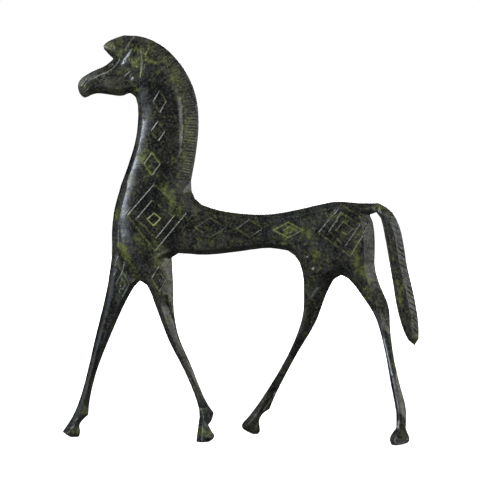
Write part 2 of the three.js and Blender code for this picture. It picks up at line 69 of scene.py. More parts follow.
CUT_HALF_WIDTH = 0.4 * MM
CUT_DEPTH = 0.28 * MM
FINE_HALF_WIDTH = 0.32 * MM
FINE_DEPTH = 0.19 * MM
LIP_HEIGHT = 0.05 * MM  # burr pushed up along both sides of a cut
LIP_PLACE = 1.35  # half widths from a cut's middle to the top of its burr
LIP_SPREAD = 0.45  # half widths over which the burr falls away
LIP_REACH = 3  # half widths past which nothing is left of it
TAPER = 0.5 * MM  # length over which a cut runs out at its ends
BLUNT_END = 0.25  # share of its depth that a cut has at its very end
# Places along the horse, and the share of their depth, and of the painted highlight on the rising ones, that
# the strokes keep there
WEAR_AND_HIGHLIGHT = ((-16, -12, 15, 19), (1, 0.6, 0.6, 0.85))
DEPOSIT_REACH = 0.75 * MM  # how far the green deposit spreads beside a cut

SKIN_SEED = 7  # for the skin, and for the strokes cut by hand
SKIN_WAVES = ((2.6 * MM, 0.05 * MM), (1.1 * MM, 0.025 * MM))  # wavelength and height of the cast skin
NOISE_TABLE = 4096  # how many random values the skin draws from
NOISE_KEYS = (73856093, 19349663, 83492791)  # large primes that scatter neighbouring places over the table
CURVE_STEPS = 24  # points between two places of a smooth line
STANDING_HEIGHT = 0.03 * MM  # how far a point stands out of its neighbours to count as worn bare

CAMERA_DISTANCE = 1.5
CAMERA_DOWN = math.radians(4)
CAMERA_TARGET = Vector((0, 0, 0.101))
CAMERA_VIEW = math.radians(9.222)
FAR_CLIP = 50

AMBIENT = 0.12  # strength of the light from all round
FLOOR_HALF = 12
FLOOR_WHITE = (0.9, 0.9, 0.9, 1)
FLOOR_ROUGHNESS = 0.9
FLOOR_GLOW = 0.9  # keeps the floor as white as what is behind it
LIT_PLACE = Vector((0, 0, 0.1))  # what the softboxes point at
# Each softbox by its name, place, size, power in watts and tint
SOFTBOXES = [
    ("key", (-0.77, -0.8, 0.56), (0.34, 0.7), 17, (0.88, 0.94, 1)),
    ("fill", (1.0, -0.45, 0.3), (0.6, 0.7), 6, (1, 1, 1)),
    ("back", (0.1, 1.1, 0.45), (0.8, 0.6), 9, (1, 1, 1)),
]

# The carving, in hundredths of the height: lists of strokes through places (x, z)

DIAMONDS = [
    [(-21.2, 63.5), (-27.8, 55.9), (-21.0, 47.1), (-13.3, 56.4)],
    [(-21.7, 59.6), (-25.6, 55.0), (-20.7, 50.3), (-16.4, 55.6)],
    [(-21.2, 56.4), (-22.9, 54.9), (-21.3, 53.3), (-19.6, 55.1)],
    [(24.9, 58.4), (19.3, 51.7), (27.1, 45.8), (32.0, 54.2)],
    [(24.6, 56.6), (21.9, 51.9), (25.8, 48.2), (29.5, 53.7)],
    [(25.4, 54.4), (23.6, 52.2), (26.3, 51.2), (27.6, 52.4)],
]

# Smaller diamonds by centre and half sizes
SMALL_DIAMONDS = [
    ((-19.8, 83.8), (1.6, 2.7)),
    ((-20.2, 76.6), (1.7, 2.5)),
    ((-21.7, 68.5), (2.0, 2.8)),
    ((-7.4, 52.8), (3.7, 2.4)),
    ((2.3, 52.6), (3.2, 2.2)),
    ((11.8, 52.2), (3.6, 1.9)),
    ((12.0, 52.2), (1.4, 0.8)),
    ((-19.9, 40.3), (2.0, 3.2)),
    ((-29.0, 38.9), (1.7, 3.1)),
    ((-29.0, 38.9), (0.7, 1.3)),
    ((19.0, 35.4), (1.5, 2.8)),
]

STROKES = [
    [(-26.1, 99.7), (-28.3, 96.3)],
    [(-38.4, 86.0), (-37.2, 87.1)],
    [(-38.9, 87.7), (-37.7, 89.4)],
    [(19.3, 51.8), (20.5, 53.2), (21.8, 55.1), (23.5, 57.5)],
    [(22.1, 52.3), (23.6, 54.4), (24.6, 56.4)],
]

FINE_STROKES = [
    # on the rump
    [(24.4, 53.2), (25.7, 54.5)],
    [(28.4, 56.4), (32.1, 53.9)],
    [(31.8, 53.2), (29.8, 50.3)],
    [(20.7, 56.1), (22.4, 58.4)],
    [(21.4, 53.2), (22.9, 55.6)],
    [(20.5, 51.1), (23.9, 48.2)],
    [(24.9, 52.4), (26.6, 51.0)],
    [(23.9, 52.7), (25.8, 50.2)],
    [(27.6, 49.7), (29.5, 51.9)],
    [(27.1, 48.7), (24.9, 50.7)],
    [(22.4, 47.0), (23.1, 45.8)],
    # inside the diamond on the near foreleg
    [(-20.7, 40.9), (-20.0, 41.9)],
    [(-20.5, 39.0), (-19.7, 40.2)],
    # round the poll, where the mane begins
    [(-22.9, 95.9), (-22.0, 97.2)],
    [(-21.8, 94.3), (-20.7, 95.6)],
    [(-23.1, 94.0), (-20.7, 93.0)],
    [(-25.4, 96.1), (-25.1, 94.6)],
    [(-21.2, 96.3), (-20.2, 97.6)],
    [(-22.8, 97.6), (-22.4, 98.8)],
    [(-20.2, 94.1), (-19.0, 95.4)],
    # on the head
    [(-23.5, 97.1), (-23.4, 94.1), (-23.6, 91.0)],
    [(-27.6, 92.6), (-27.0, 91.8)],
    [(-26.9, 99.4), (-28.7, 96.4)],
    [(-25.5, 99.4), (-27.4, 96.4)],
]

# Soft relief: a line through places, how far it spreads each way and how high it stands, in millimetres
FORMS = [
    ([(-24.1, 97.3), (-24.0, 94.1), (-24.1, 91.2), (-24.4, 89.2), (-25.3, 87.5)], 0.8, 0.3),
    ([(-26.2, 96.8), (-26.8, 95.4), (-27.8, 94.1), (-28.5, 92.9)], 1.5, 0.4),
    ([(-26.6, 93.8), (-25.7, 92.5)], 1.3, -0.5),
    ([(-26.0, 93.2), (-25.9, 93.1)], 0.6, 0.3),
    ([(-28.1, 89.9), (-27.2, 90.7), (-26.3, 91.4)], 0.9, 0.3),
    ([(-26.9, 89.7), (-26.6, 90.4), (-25.8, 90.8), (-25.1, 90.7)], 0.6, 0.2),
    ([(-31.5, 93.1), (-33.2, 91.4), (-34.7, 90.2)], 1.0, 0.2),
    ([(-30.3, 47.0), (-28.0, 45.2), (-25.7, 43.1)], 1.2, -0.4),
    ([(-19.9, 41.5), (-19.9, 39.1)], 2.6, -0.5),
    ([(16.1, 46.1), (16.3, 45.7)], 0.9, -0.5),
    ([(29.6, 57.2), (32.6, 56.6)], 2.8, 0.6),
    ([(-20.4, 45.4), (-17.6, 46.9)], 2.2, 0.4),
]

# Ridges down the legs, from the lower end, and how steeply the surface falls away to the left and right
RIDGES = [
    ([(-42.5, 1.3), (-41.2, 4.1), (-39.1, 8.8), (-38.4, 12.4), (-37.6, 15.5), (-36.3, 20.2), (-35.0, 24.9),
      (-33.4, 30.0), (-31.9, 37.3), (-30.4, 46.3)], 0.55, 0.1),
    ([(-10.2, 12.5), (-12.3, 16.7), (-15.4, 22.3), (-17.5, 27.5), (-19.3, 32.7), (-20.4, 36.1)], 0.2, 0.3),
    ([(39.0, 2.8), (39.0, 6.5), (38.2, 11.2), (37.5, 16.4), (36.4, 21.6), (35.1, 27.3), (32.9, 33.0)],
     0.55, 0.2),
    ([(2.5, 4.4), (7.6, 12.2), (11.8, 19.5), (14.9, 26.3), (16.4, 32.5)], 0.45, 0.15),
]
RIDGE_REACH = 4.5 * MM
RIDGE_ENDS = 5 * MM

# The crest down the front of the neck and chest, from its lower end, which the surface falls away to
FRONT_CREST = [(-28.9, 47.0), (-29.4, 51.7), (-29.8, 55.4), (-29.2, 59.1), (-28.4, 62.8), (-27.4, 66.5),
               (-26.1, 70.2), (-25.5, 73.9), (-24.7, 77.6), (-24.3, 84.5)]
CREST_DROP = 1.4 * MM
CREST_REACH = 7 * MM
CREST_ENDS = 11 * MM

# Painted highlights and sheen, partly where handling keeps the bronze bright: a line through places, how far
# it spreads each way in millimetres, and how bright
POLISH_AND_HIGHLIGHTS = [
    ([(-27.9, 50.0), (-28.6, 53.0), (-28.6, 56.5), (-27.9, 60.2)], 3.8, 0.9),
    ([(-27.9, 60.2), (-26.8, 65.0), (-25.3, 70.2), (-24.6, 73.9)], 2.4, 0.6),
    ([(-24.6, 73.9), (-23.6, 77.6), (-23.2, 81.0), (-23.8, 86.0)], 5.0, 0.7),
    ([(-23.6, 42.0), (-25.0, 44.8), (-26.8, 47.8)], 2.6, 0.45),
    ([(-28.7, 92.6), (-27.1, 95.2)], 2.6, 1.0),
    # down the far foreleg
    ([(-30.4, 45.8), (-31.0, 42.3), (-32.2, 34.9), (-33.2, 31.0)], 1.3, 1.4),
    ([(-33.2, 31.0), (-34.3, 27.3), (-36.3, 19.9), (-38.1, 12.7), (-39.6, 8.3), (-42.3, 2.4)], 1.0, 0.9),
    # down the near and the far hind leg
    ([(33.1, 32.4), (34.7, 28.7), (36.2, 22.6), (37.5, 16.4), (38.5, 10.2), (39.1, 5.3)], 0.9, 1.1),
    ([(16.2, 32.4), (14.8, 26.3), (11.3, 19.6), (6.9, 12.2)], 0.8, 0.6),
    # the front of the hooves
    ([(3.9, 5.1), (2.2, 2.6)], 0.8, 0.9),
    ([(38.6, 0.4), (40.1, 0.9)], 1.0, 0.9),
    # a painted highlight on a stroke on the far hind leg
    ([(17.6, 35.7), (19.4, 37.8)], 0.8, 2.5),
]

# Where a pale film dulls it, partly painted light on the faces turned to the fill light and on a shaded
# corner at the belly
PALE_FILM_AND_LIGHT = [
    # the mane's edge, and the flat under it
    ([(-20.4, 93.1), (-18.5, 91.2), (-16.7, 88.5), (-15.5, 85.5), (-14.8, 82.3), (-14.3, 78.1),
      (-14.5, 71.9), (-15.0, 66.5), (-15.2, 62.0)], 1.5, 0.7),
    ([(-13.0, 72.0), (-13.3, 65.5), (-13.8, 59.5), (-11.0, 56.8)], 4.5, 0.6),
    ([(-24.3, 97.3), (-24.1, 94.1), (-24.3, 91.2)], 1.2, 0.9),
    ([(-22.2, 96.6), (-19.2, 94.6), (-16.2, 91.7), (-13.8, 87.5), (-12.3, 82.5), (-11.7, 76.9),
      (-11.9, 70.7), (-12.8, 64.5)], 4.5, 0.55),
    # down the back of the near foreleg
    ([(-19.3, 47.8), (-18.9, 46.8)], 3.0, 0.7),
    ([(-19.0, 48.0), (-18.0, 44.5), (-17.4, 37.4)], 3.2, 0.5),
    ([(-17.2, 38.6), (-17.1, 34.9), (-16.5, 30.0), (-15.3, 25.0), (-12.7, 19.6), (-10.3, 13.9)], 1.5, 0.7),
    ([(-20.7, 34.9), (-18.7, 30.0), (-17.2, 25.0), (-14.0, 19.6)], 1.5, 0.2),
    ([(-29.0, 34.9), (-31.5, 27.3), (-34.9, 19.9)], 2.5, 0.3),
    # down the back of the near hind leg, and the front of the tail
    ([(35.7, 32.4), (36.5, 28.7), (37.2, 22.6), (38.5, 16.4), (39.7, 10.2), (40.1, 5.3)], 1.5, 0.9),
    ([(34.5, 55.4), (35.4, 51.7), (36.4, 46.8), (37.4, 40.3), (38.4, 33.7), (39.6, 28.0)], 1.6, 1.2),
]

# Painted shade: where the bronze is made darkest
PAINTED_SHADE = [
    ([(-20.0, 88.0), (-18.5, 80.0), (-19.0, 72.0), (-20.5, 62.0)], 14, 1.0),
    ([(-23.5, 59.5), (-21.0, 49.5), (-14.5, 54.0)], 12, 1.4),
    ([(-23.4, 49.0), (-22.4, 45.0)], 4, 1.6),
]

# Painted shade: dark lines beside the ridges of the legs
CREASE_SHADE = [
    ([(-18.3, 37.9), (-18.1, 34.9), (-17.8, 30.0), (-16.1, 25.0), (-13.4, 19.6), (-11.1, 13.9)], 1.3, 1.0),
    ([(-30.0, 42.3), (-31.3, 34.9), (-33.5, 27.3), (-35.8, 19.9), (-37.7, 12.7)], 1.2, 0.95),
    ([(34.0, 28.7), (35.6, 22.6), (37.0, 16.4), (38.1, 10.2), (38.6, 5.3)], 0.9, 1.0),
    ([(35.6, 28.7), (36.7, 22.6), (38.0, 16.4), (39.0, 10.2)], 0.9, 1.0),
]

# Where the green gathers: a line through places, how far it spreads each way in millimetres, and how thick
GREEN = [
    ([(-21.7, 97.1), (-18.2, 94.1), (-15.5, 89.2), (-13.3, 82.3), (-12.8, 74.4), (-13.8, 68.5)], 5, 0.75),
    ([(-22.6, 71.9), (-23.6, 69.0), (-22.2, 67.0), (-19.7, 65.0), (-18.2, 62.1), (-16.5, 59.1),
      (-15.3, 56.1)], 4.5, 1.0),
    ([(-30.3, 56.6), (-30.3, 55.1)], 3, 0.9),
    ([(-22.9, 54.9), (-21.3, 53.3), (-19.6, 55.1), (-21.2, 56.4), (-22.9, 54.9)], 1.1, 1.8),
    ([(-24.9, 50.2), (-23.1, 47.3)], 5, 0.8),
    ([(-20.7, 49.7), (-20.4, 44.3)], 4, 1.0),
    ([(-29.4, 48.5), (-28.3, 46.5), (-27.1, 44.3), (-25.1, 40.8)], 3.5, 1.0),
    ([(-13.3, 54.7), (-11.8, 53.7)], 4, 0.6),
    ([(-5.9, 58.1), (-3.9, 57.1)], 4, 0.5),
    ([(-8.4, 53.2), (-5.9, 51.2), (-7.4, 48.7)], 4, 0.6),
    ([(10.8, 49.2), (12.3, 52.7), (14.8, 51.7)], 5, 0.7),
    ([(22.2, 56.1), (25.6, 54.7)], 5, 0.6),
    ([(33.5, 58.1), (35.9, 57.6)], 4, 0.7),
    ([(16.7, 51.2), (17.7, 47.3), (19.2, 44.3)], 5, 0.7),
    ([(28.6, 48.2), (28.8, 44.3)], 4, 0.9),
    ([(19.2, 41.8), (17.2, 38.9)], 4.5, 0.8),
    ([(30.0, 41.8), (31.5, 39.4), (32.0, 35.9)], 4, 0.8),
    ([(39.4, 38.9), (39.6, 33.9)], 4, 0.7),
    ([(-30.5, 99.1), (-28.6, 96.6), (-29.0, 94.6)], 4, 0.6),
    ([(-25.1, 96.6), (-23.1, 94.1), (-21.7, 95.1)], 5, 0.9),
    ([(-31.5, 91.2), (-28.6, 91.7)], 4, 0.6),
    ([(-24.9, 93.6), (-24.4, 90.7)], 3, 0.6),
    ([(-32.5, 97.5), (-30.0, 97.2)], 4, 0.8),
    ([(11.8, 54.1), (8.2, 52.2), (11.8, 50.3), (15.4, 52.2), (11.8, 54.1)], 0.9, 1.4),
    ([(-21.7, 71.3), (-23.7, 68.5), (-21.7, 65.7), (-19.7, 68.5), (-21.7, 71.3)], 0.9, 1.4),
    ([(-41.1, 2.1), (-39.9, 0.6)], 3, 1.1),
    ([(-10.8, 3.3), (-6.9, 1.9)], 4, 1.0),
    ([(-24.8, 94.5), (-25.7, 93.1)], 1.1, 1.8),
    ([(-22.4, 96.8), (-23.2, 95.3)], 1.1, 1.8),
    ([(-23.2, 94.1), (-20.7, 93.1)], 1.1, 1.8),
    ([(-26.7, 94.5), (-26.1, 92.5)], 1.1, 1.6),
    ([(-24.6, 86.7), (-25.9, 86.3)], 1.4, 1.6),
    ([(-29.3, 97.9), (-29.0, 96.8)], 1.6, 1.4),
]

# The outer edge of the mane, and of the tail, which their short strokes start from
MANE_EDGE = [(-12.1, 64.1), (-10.9, 70.8), (-10.2, 78.7), (-11.0, 85.6), (-13.7, 91.6), (-18.7, 97.1),
             (-23.9, 99.6)]
MANE_PITCH = 1.5 * MM
MANE_REACH = (1.1 * MM, 6.3 * MM)
TAIL_EDGE = [(44.1, 24.4), (44.1, 29.2), (43.2, 34.9), (41.3, 43.1), (39.5, 52.4), (37.3, 56.7)]
TAIL_PITCH = 2.9 * MM
TAIL_REACH = (0.7 * MM, 4.6 * MM)
TAIL_SLANT = -0.85  # radians from straight across
HAND_TURN = 0.09  # radians that a stroke cut by hand may turn out of line
HAND_REACH = (0.88, 1.12)  # least and most share of its reach at which each end of such a stroke lies


def place(at):
    """A place in hundredths of the height as metres, x and z."""
    return np.array(at) * UNIT


# Strokes

def smooth_line(places, count):
    """Evenly spaced points on a smooth curve through the places, in metres."""
    points = np.array([place(at) for at in places])
    padded = np.vstack([2 * points[0] - points[1], points, 2 * points[-1] - points[-2]])
    fine = []
    for i in range(len(points) - 1):
        p0, p1, p2, p3 = padded[i:i + 4]
        for t in np.linspace(0, 1, CURVE_STEPS, endpoint=False):
            fine.append(0.5 * (2 * p1 + (p2 - p0) * t + (2 * p0 - 5 * p1 + 4 * p2 - p3) * t ** 2
                               + (3 * p1 - p0 - 3 * p2 + p3) * t ** 3))
    fine = np.array(fine + [points[-1]])
    run = np.concatenate([[0], np.cumsum(np.linalg.norm(np.diff(fine, axis=0), axis=1))])
    wanted = np.linspace(0, run[-1], count)
    return np.column_stack([np.interp(wanted, run, fine[:, axis]) for axis in (0, 1)])


def edge_strokes(edge, pitch, reach, slant, rng):
    """Short strokes that start beside an edge and run inwards, a little uneven as cut by hand."""
    length = np.linalg.norm(np.diff([place(at) for at in edge], axis=0), axis=1).sum()
    count = int(length / pitch)
    line = smooth_line(edge, count + 2)
    strokes = []
    for before, at, after in zip(line, line[1:], line[2:]):
        along = (after - before) / np.linalg.norm(after - before)
        angle = math.pi / 2 + slant + rng.uniform(-HAND_TURN, HAND_TURN)
        turn = np.array([[math.cos(angle), -math.sin(angle)], [math.sin(angle), math.cos(angle)]])
        inward = turn @ along
        near, far = (distance * rng.uniform(*HAND_REACH) for distance in reach)
        strokes.append(np.array([at + inward * near, at + inward * far]))
    return strokes


def ring(centre, half_sizes):
    """The corners of a diamond."""
    x, z = centre
    across, up = half_sizes
    return [(x, z + up), (x - across, z), (x, z - up), (x + across, z)]


def sides(corners):
    """The strokes from corner to corner all the way round."""
    return [[corner, following] for corner, following in zip(corners, corners[1:] + corners[:1])]


def kept_share(line):
    """How much of its depth, and of its painted highlight, a stroke keeps."""
    return np.interp(line[:, 0].mean() / UNIT, *WEAR_AND_HIGHLIGHT)


def carving():
    """Every sharp stroke as (points, half width, depth)."""
    rng = np.random.default_rng(SKIN_SEED)
    strong = list(STROKES)
    for corners in DIAMONDS + [ring(*diamond) for diamond in SMALL_DIAMONDS]:
        strong += sides(corners)
    fine = [[place(at) for at in stroke] for stroke in FINE_STROKES]
    fine += edge_strokes(MANE_EDGE, MANE_PITCH, MANE_REACH, 0, rng)
    fine += edge_strokes(TAIL_EDGE, TAIL_PITCH, TAIL_REACH, TAIL_SLANT, rng)
    lines = [np.array([place(at) for at in stroke]) for stroke in strong]
    cuts = [(line, CUT_HALF_WIDTH, CUT_DEPTH * kept_share(line)) for line in lines]
    return cuts + [(np.array(stroke), FINE_HALF_WIDTH, FINE_DEPTH) for stroke in fine]


def near_line(points, line, margin):
    """Which points are near a line, how far from it, and how far along it from its nearer end."""
    inside = np.all((points > line.min(axis=0) - margin) & (points < line.max(axis=0) + margin), axis=1)
    chosen = np.flatnonzero(inside)
    near = points[chosen]
    distance = np.full(len(chosen), np.inf)
    along = np.zeros(len(chosen))
    walked = 0
    for start, end in zip(line, line[1:]):
        step = end - start
        length = np.linalg.norm(step)
        share = np.clip((near - start) @ step / length ** 2, 0, 1)
        own = np.linalg.norm(near - start - share[:, None] * step, axis=1)
        closer = own < distance
        distance[closer] = own[closer]
        along[closer] = walked + share[closer] * length
        walked += length
    return chosen, distance, np.minimum(along, walked - along)


def cut_relief(points, cuts):
    """How far the cuts move each point (x, z) outwards, and how much of a full cut it has."""
    depth = np.zeros(len(points))
    lip = np.zeros(len(points))
    share = np.zeros(len(points))
    for line, half_width, full_depth in cuts:
        chosen, distance, from_end = near_line(points, line, LIP_REACH * half_width)
        run_out = np.clip(from_end / TAPER + BLUNT_END, 0, 1)
        valley = run_out * np.clip(1 - distance / half_width, 0, 1)
        burr = run_out * np.exp(-((distance - LIP_PLACE * half_width) / (LIP_SPREAD * half_width)) ** 2)
        depth[chosen] = np.maximum(depth[chosen], full_depth * valley)
        lip[chosen] = np.maximum(lip[chosen], LIP_HEIGHT * burr)
        share[chosen] = np.maximum(share[chosen], valley)
    return np.where(depth > 0, -depth, lip), share


def form_relief(points):
    """How far the soft relief moves each point (x, z) outwards."""
    relief = np.zeros(len(points))
    for places, spread, height in FORMS:
        line = np.array([place(at) for at in places])
        chosen, distance, _ = near_line(points, line, spread * MM)
        falloff = 0.5 + 0.5 * np.cos(np.pi * np.clip(distance / (spread * MM), 0, 1))
        relief[chosen] += height * MM * falloff
    return relief


def crest_relief(points):
    """How far the surface falls away towards the crest down the front, at each point (x, z)."""
    crest = np.array([place(at) for at in FRONT_CREST])
    behind = points[:, 0] - np.interp(points[:, 1], crest[:, 1], crest[:, 0])
    share = np.clip(1 - np.maximum(behind, 0) / CREST_REACH, 0, 1) ** 2
    from_end = np.minimum(points[:, 1] - crest[0, 1], crest[-1, 1] - points[:, 1])
    return -CREST_DROP * share * np.clip(from_end / CREST_ENDS, 0, 1)


def ridge_relief(points):
    """How far the surface falls away on both sides of the ridges down the legs, at each point (x, z)."""
    relief = np.zeros(len(points))
    for places, left, right in RIDGES:
        line = np.array([place(at) for at in places])
        beside = points[:, 0] - np.interp(points[:, 1], line[:, 1], line[:, 0])
        from_end = np.minimum(points[:, 1] - line[0, 1], line[-1, 1] - points[:, 1])
        fall = np.where(beside < 0, -left, right) * beside * np.clip(from_end / RIDGE_ENDS, 0, 1)
        relief -= np.where(np.abs(beside) < RIDGE_REACH, fall, 0)
    return relief


# Height maps of the solid

class HeightMaps:
    """How far the solid stands out to the left and to the right at each place of a grid over x and z."""

    def __init__(self, tree, corner, far_corner):
        margin = GRID_MARGIN * GRID
        self.corner = corner[[0, 2]] - margin
        self.shape = np.ceil((far_corner[[0, 2]] + margin - self.corner) / GRID).astype(int)
        start = far_corner[1] + RAY_START
        self.fill = {side: self.missing(self.scan(tree, side, start)) for side in (-1, 1)}

    def scan(self, tree, side, distance):
        """How far the solid stands out to one side, by rays from a distance."""
        heights = np.full(self.shape, -np.inf)
        towards = Vector((0, -side, 0))
        for i in range(self.shape[0]):
            x = self.corner[0] + i * GRID
            for j in range(self.shape[1]):
                hit = tree.ray_cast(Vector((x, side * distance, self.corner[1] + j * GRID)), towards)[0]
                if hit:
                    heights[i, j] = side * hit.y
        return heights

    def spread(self, heights, pick):
        """Each place's highest or lowest neighbour within the healing radius."""
        radius = int(round(HEAL_RADIUS / GRID))
        result = heights.copy()
        for i in range(-radius, radius + 1):
            for j in range(-radius, radius + 1):
                if i * i + j * j <= radius * radius:
                    result = pick(result, np.roll(heights, (i, j), axis=(0, 1)))
        return result

    def missing(self, heights):
        """What fills the narrow cuts: the heights closed over them, less the heights."""
        closed = self.spread(self.spread(heights, np.maximum), np.minimum)
        with np.errstate(invalid="ignore"):
            missing = closed - heights
        return np.where(np.isfinite(missing), missing, 0)

    def at(self, points, side):
        """The filling at points (x, z), between the grid's places."""
        places = (points - self.corner) / GRID
        whole = np.clip(np.floor(places).astype(int), 0, self.shape - 2)
        part = np.clip(places - whole, 0, 1)
        i, j = whole.T
        u, v = part.T
        fill = self.fill[side]
        return ((1 - u) * (1 - v) * fill[i, j] + u * (1 - v) * fill[i + 1, j]
                + (1 - u) * v * fill[i, j + 1] + u * v * fill[i + 1, j + 1])


# Mesh work

def get_points(mesh):
    points = np.empty(len(mesh.vertices) * 3)
    mesh.vertices.foreach_get("co", points)
    return points.reshape(-1, 3)


def set_points(mesh, points):
    mesh.vertices.foreach_set("co", points.ravel())
    mesh.update()


def get_normals(mesh):
    normals = np.empty(len(mesh.vertices) * 3)
    mesh.vertices.foreach_get("normal", normals)
    return normals.reshape(-1, 3)


def apply_modifier(piece, kind, **settings):
    """Runs a modifier on a piece and keeps the result as its mesh."""
    modifier = piece.modifiers.new(kind.lower(), kind)
    for name, value in settings.items():
        setattr(modifier, name, value)
    bpy.context.view_layer.update()
    evaluated = piece.evaluated_get(bpy.context.evaluated_depsgraph_get())
    mesh = bpy.data.meshes.new_from_object(evaluated)
    piece.modifiers.clear()
    piece.data = mesh


def neighbour_means(mesh, values):
    """Each vertex's mean over the vertices that it shares an edge with."""
    edges = np.empty(len(mesh.edges) * 2, dtype=np.int32)
    mesh.edges.foreach_get("vertices", edges)
    one, other = edges.reshape(-1, 2).T
    count = np.bincount(edges, minlength=len(values))
    sums = np.column_stack([
        np.bincount(one, column[other], len(values)) + np.bincount(other, column[one], len(values))
        for column in values.T
    ])
    return sums / count[:, None]


def smooth(mesh, points, rounds):
    """Takes off what is finer than a few quads and keeps the form as large as it was."""
    for _ in range(rounds):
        for weight in SMOOTHING:
            points = points + weight * (neighbour_means(mesh, points) - points)
    return points


def value_noise(points, wavelength, seed):
    """Smooth random values from -1 to 1, about one bump to a wavelength."""
    rng = np.random.default_rng(seed)
    table = rng.uniform(-1, 1, NOISE_TABLE)
    places = points / wavelength
    whole = np.floor(places).astype(np.int64)
    part = places - whole
    part = part * part * (3 - 2 * part)
    total = np.zeros(len(points))
    for dx in (0, 1):
        for dy in (0, 1):
            for dz in (0, 1):
                x_key, y_key, z_key = ((whole + (dx, dy, dz)) * NOISE_KEYS).T
                weight = (np.where(dx, part[:, 0], 1 - part[:, 0]) * np.where(dy, part[:, 1], 1 - part[:, 1])
                          * np.where(dz, part[:, 2], 1 - part[:, 2]))
                total += weight * table[(x_key ^ y_key ^ z_key) % NOISE_TABLE]
    return total


def facing_shares(normals, side):
    """1 where the surface faces one side, falling to 0 on the rims."""
    return np.clip((side * normals[:, 1] - RIM_TURN) / RIM_FADE, 0, 1)


def healed_copy(node):
    """A fine, smooth mesh on the solid's form, with its narrow cuts filled."""
    tree = BVHTree.FromObject(node, bpy.context.evaluated_depsgraph_get())
    maps = HeightMaps(tree, low_corner, high_corner)
    piece = bpy.data.objects.new("horse_bronze", node.data.copy())
    bpy.context.scene.collection.objects.link(piece)
    piece.data.materials.clear()
    apply_modifier(piece, "REMESH", mode="VOXEL", voxel_size=VOXEL, adaptivity=0)

    mesh = piece.data
    points = get_points(mesh)
    normals = get_normals(mesh)
    for side in (-1, 1):
        points[:, 1] += side * maps.at(points[:, [0, 2]], side) * facing_shares(normals, side)
    set_points(mesh, smooth(mesh, points, ROUNDS))
    return piece


def carve(mesh, cuts):
    """Gives the mesh its cast skin and its relief, and keeps it in the solid's box."""
    points = get_points(mesh)
    normals = get_normals(mesh)
    for seed, (wavelength, height) in enumerate(SKIN_WAVES):
        points += normals * (height * value_noise(points, wavelength, SKIN_SEED + seed))[:, None]
    flat = points[:, [0, 2]]
    relief = crest_relief(flat) + ridge_relief(flat) + form_relief(flat) + cut_relief(flat, cuts)[0]
    for side in (-1, 1):
        points[:, 1] += side * relief * facing_shares(normals, side)
    set_points(mesh, np.clip(points, low_corner, high_corner))


def thin_out(piece):
    """Brings the piece under its number of triangles, still in the solid's box, and shades it smoothly."""
    count = sum(len(polygon.vertices) - 2 for polygon in piece.data.polygons)
    apply_modifier(piece, "DECIMATE", ratio=min(1, MOST_TRIANGLES / count))
    mesh = piece.data
    set_points(mesh, np.clip(get_points(mesh), low_corner, high_corner))
    for polygon in mesh.polygons:
        polygon.use_smooth = True


def detailed_horse():
    """The horse with its carving cut again, kept on the solid's form and marked for the patina and its
    painted light and shade.
    """
    cuts = carving()
    piece = healed_copy(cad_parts["horse"])
    carve(piece.data, cuts)
    thin_out(piece)
    mark_surface(piece.data, cuts)
    return piece


def closeness(points, lines):
    """The full share of each (line, reach, share) on its line, falling to 0 at its reach."""
    near = np.zeros(len(points))
    for line, reach, share in lines:
        chosen, distance, _ = near_line(points, line, reach)
        near[chosen] = np.maximum(near[chosen], share * np.clip(1 - distance / reach, 0, 1))
    return near


def zones(lines):
    """The lines through places, with their spreads, in metres."""
    return [(np.array([place(at) for at in places]), spread * MM, share) for places, spread, share in lines]


def mark_surface(mesh, cuts):
    """Keeps, as values for the patina and for its painted highlights and shade, what lies in or near a cut
    or a zone, and what stands out.
    """
    points = get_points(mesh)
    normals = get_normals(mesh)
    flat = points[:, [0, 2]]
    facing = np.maximum(facing_shares(normals, -1), facing_shares(normals, 1))
    standing = ((points - neighbour_means(mesh, neighbour_means(mesh, points))) * normals).sum(axis=1)
    wide = [line for line, half_width, _ in cuts if half_width == CUT_HALF_WIDTH]
    deposits = [(line, DEPOSIT_REACH, 1) for line in wide if leans(line) < 0]
    # strokes that rise to the right get a painted highlight, partly pale dust
    lit_scratches = [(line, CUT_HALF_WIDTH, kept_share(line)) for line in wide if leans(line) > 0]
    fine = [cut for cut in cuts if cut[1] == FINE_HALF_WIDTH]
    marks = {
        # painted shade in the fine cuts and beside the ridges of the legs
        "cut": np.maximum(cut_relief(flat, fine)[1] * facing, closeness(flat, zones(CREASE_SHADE))),
        "scratch_highlight": closeness(flat, lit_scratches) * facing,
        "deposit": closeness(flat, deposits) * facing,
        "green": closeness(flat, zones(GREEN)) * facing,
        # painted highlights and sheen, partly wear from handling
        "polish_and_highlight": closeness(flat, zones(POLISH_AND_HIGHLIGHTS)),
        # pale film, partly painted light
        "pale_film_and_light": closeness(flat, zones(PALE_FILM_AND_LIGHT)),
        # painted shade
        "painted_shade": closeness(flat, zones(PAINTED_SHADE)),
        "standing": np.clip(standing / STANDING_HEIGHT, -1, 1),
    }
    for name, values in marks.items():
        attribute = mesh.attributes.new(name, "FLOAT", "POINT")
        attribute.data.foreach_set("value", values.astype(np.float32))


def leans(line):
    """Above 0 for a stroke that rises to the right, below 0 for one that falls."""
    step = line[-1] - line[0]
    return step[0] * step[1]


# Material

